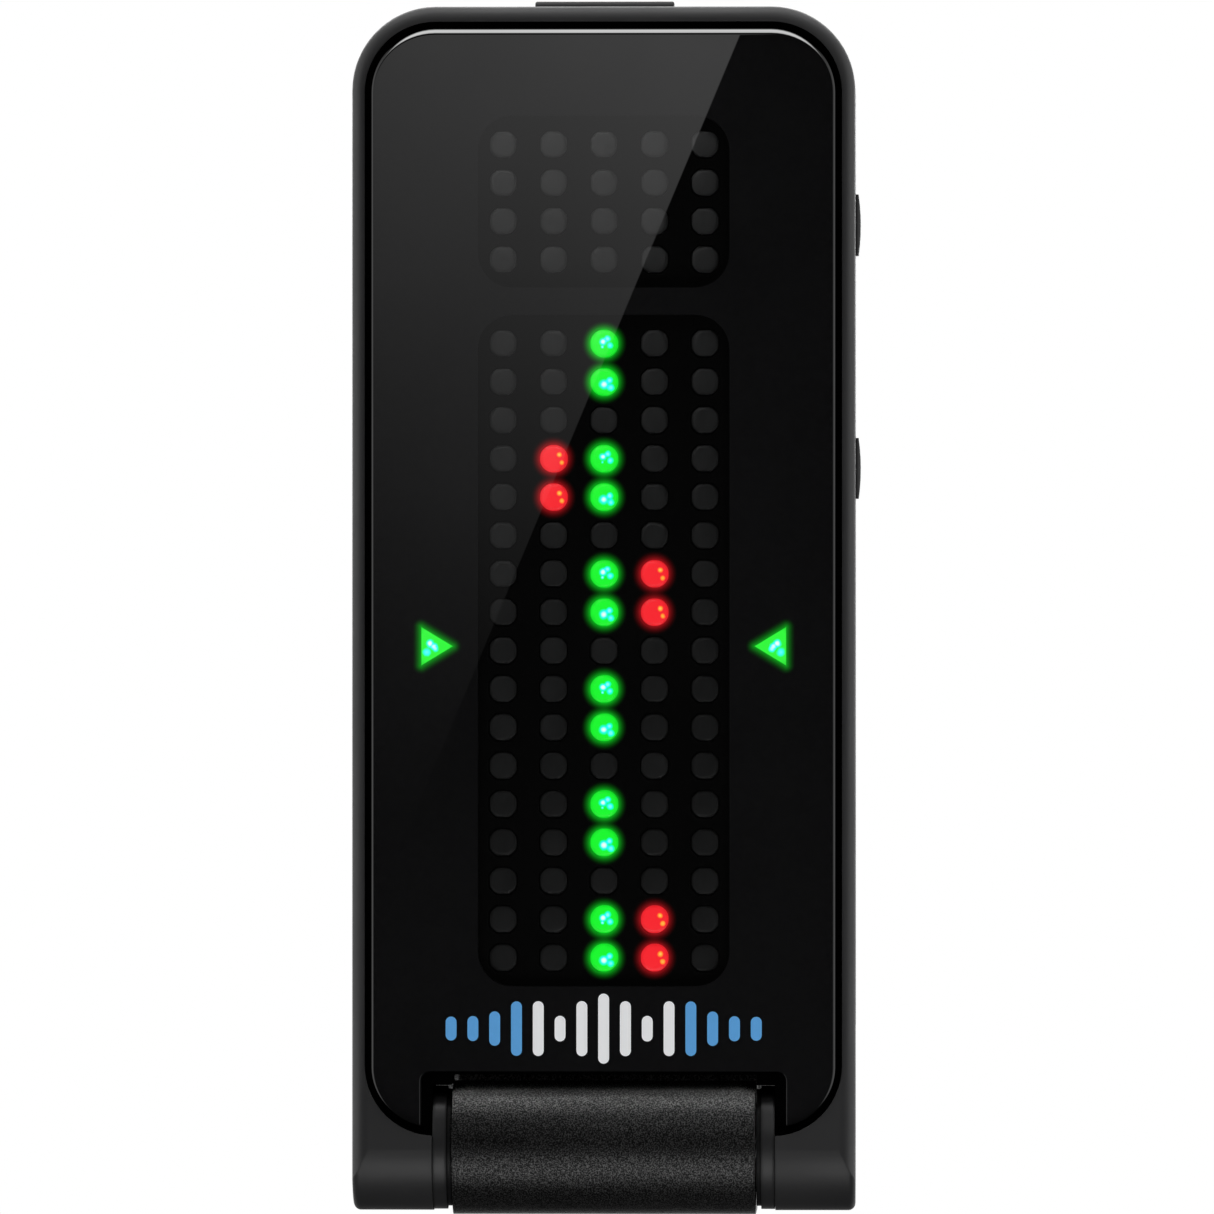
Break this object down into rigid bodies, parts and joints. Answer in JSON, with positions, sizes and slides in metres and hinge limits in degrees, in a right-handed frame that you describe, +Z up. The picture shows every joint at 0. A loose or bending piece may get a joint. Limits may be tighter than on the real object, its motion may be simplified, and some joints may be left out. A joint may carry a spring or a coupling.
{
  "type": "clip-on tuner",
  "caption": "Clip-on instrument tuner: a slim head with a lit dot display on a friction hinge, carried by a sprung clip with rubber pads.",
  "frame": {"origin": "centre of the fixed jaw's pad face, where the clip bears on the instrument's headstock", "axes": "+Z up along the head, +Y from the display towards the moving jaw, +X to the right of someone reading the display"},
  "size_m": [0.0242, 0.0259, 0.0581],
  "materials": {
    "shell_black": "soft satin",
    "face_glass": "smoked gloss",
    "adhesive": "matt",
    "mask_black": "matt",
    "diffuser": "translucent smoke",
    "led_body": "clear resin",
    "board_green": "solder mask",
    "chip_black": "moulded",
    "sensor_brass": "satin",
    "switch_metal": "satin",
    "button_black": "soft satin",
    "plunger_black": "moulded",
    "screw_black": "black zinc",
    "cell_steel": "satin nickel",
    "contact_metal": "plated spring strip",
    "pin_steel": "ground",
    "washer_black": "smooth acetal",
    "bush_natural": "acetal",
    "clip_black": "fine spark texture",
    "pad_rubber": "matt",
    "spring_steel": "drawn wire"
  },
  "bodies": {
    "clip": {"fixed_arm": "clip_black", "fixed_pad": "pad_rubber", "friction_bushes": "bush_natural", "jaw_pin": "pin_steel", "jaw_pin_retainer": "spring_steel", "jaw_spring": "spring_steel"},
    "head": {"front_housing": "shell_black", "face_glass": "face_glass", "glass_adhesive": "adhesive", "dot_mask": "mask_black", "dot_diffuser": "diffuser", "led_chips": "led_body", "main_board": "board_green", "board_chips": "chip_black", "vibration_sensor": "sensor_brass", "tact_switches": "switch_metal", "rear_cover": "shell_black", "cover_screws": "screw_black", "coin_cell": "cell_steel", "cell_contact_minus": "contact_metal", "cell_contact_plus": "contact_metal", "hinge_pin": "pin_steel", "hinge_washers": "washer_black", "hinge_pin_plug": "shell_black"},
    "power_key": {"power_button": "button_black", "power_plunger": "plunger_black"},
    "mode_key": {"mode_button": "button_black", "mode_plunger": "plunger_black"},
    "display_key": {"display_button": "button_black", "display_plunger": "plunger_black"},
    "door": {"battery_door": "shell_black"},
    "moving_jaw": {"moving_arm": "clip_black", "moving_pad": "pad_rubber"}
  },
  "joints": [
    {"name": "display_tilt", "type": "hinge", "parent": "clip", "child": "head", "pos_m": [0, -0.0111, -0.03475], "axis": [1, 0, 0], "range_deg": [0, 180]},
    {"name": "jaw_open", "type": "hinge", "parent": "clip", "child": "moving_jaw", "pos_m": [0, 0.0017, -0.02075], "axis": [-1, 0, 0], "range_deg": [0, 30], "stiffness_Nm_per_rad": 0.12, "springref_deg": -25.78, "deforming": ["jaw_spring"]},
    {"name": "power_press", "type": "slide", "parent": "head", "child": "power_key", "axis": [0, 0, -1], "range_m": [0, 0.0003], "stiffness_N_per_m": 200},
    {"name": "mode_press", "type": "slide", "parent": "head", "child": "mode_key", "axis": [-1, 0, 0], "range_m": [0, 0.0002], "stiffness_N_per_m": 200},
    {"name": "display_press", "type": "slide", "parent": "head", "child": "display_key", "axis": [-1, 0, 0], "range_m": [0, 0.0002], "stiffness_N_per_m": 200},
    {"name": "battery_door_turn", "type": "hinge", "parent": "head", "child": "door", "pos_m": [0, -0.0062, -0.01625], "axis": [0, 1, 0], "range_deg": [0, 35]}
  ]
}
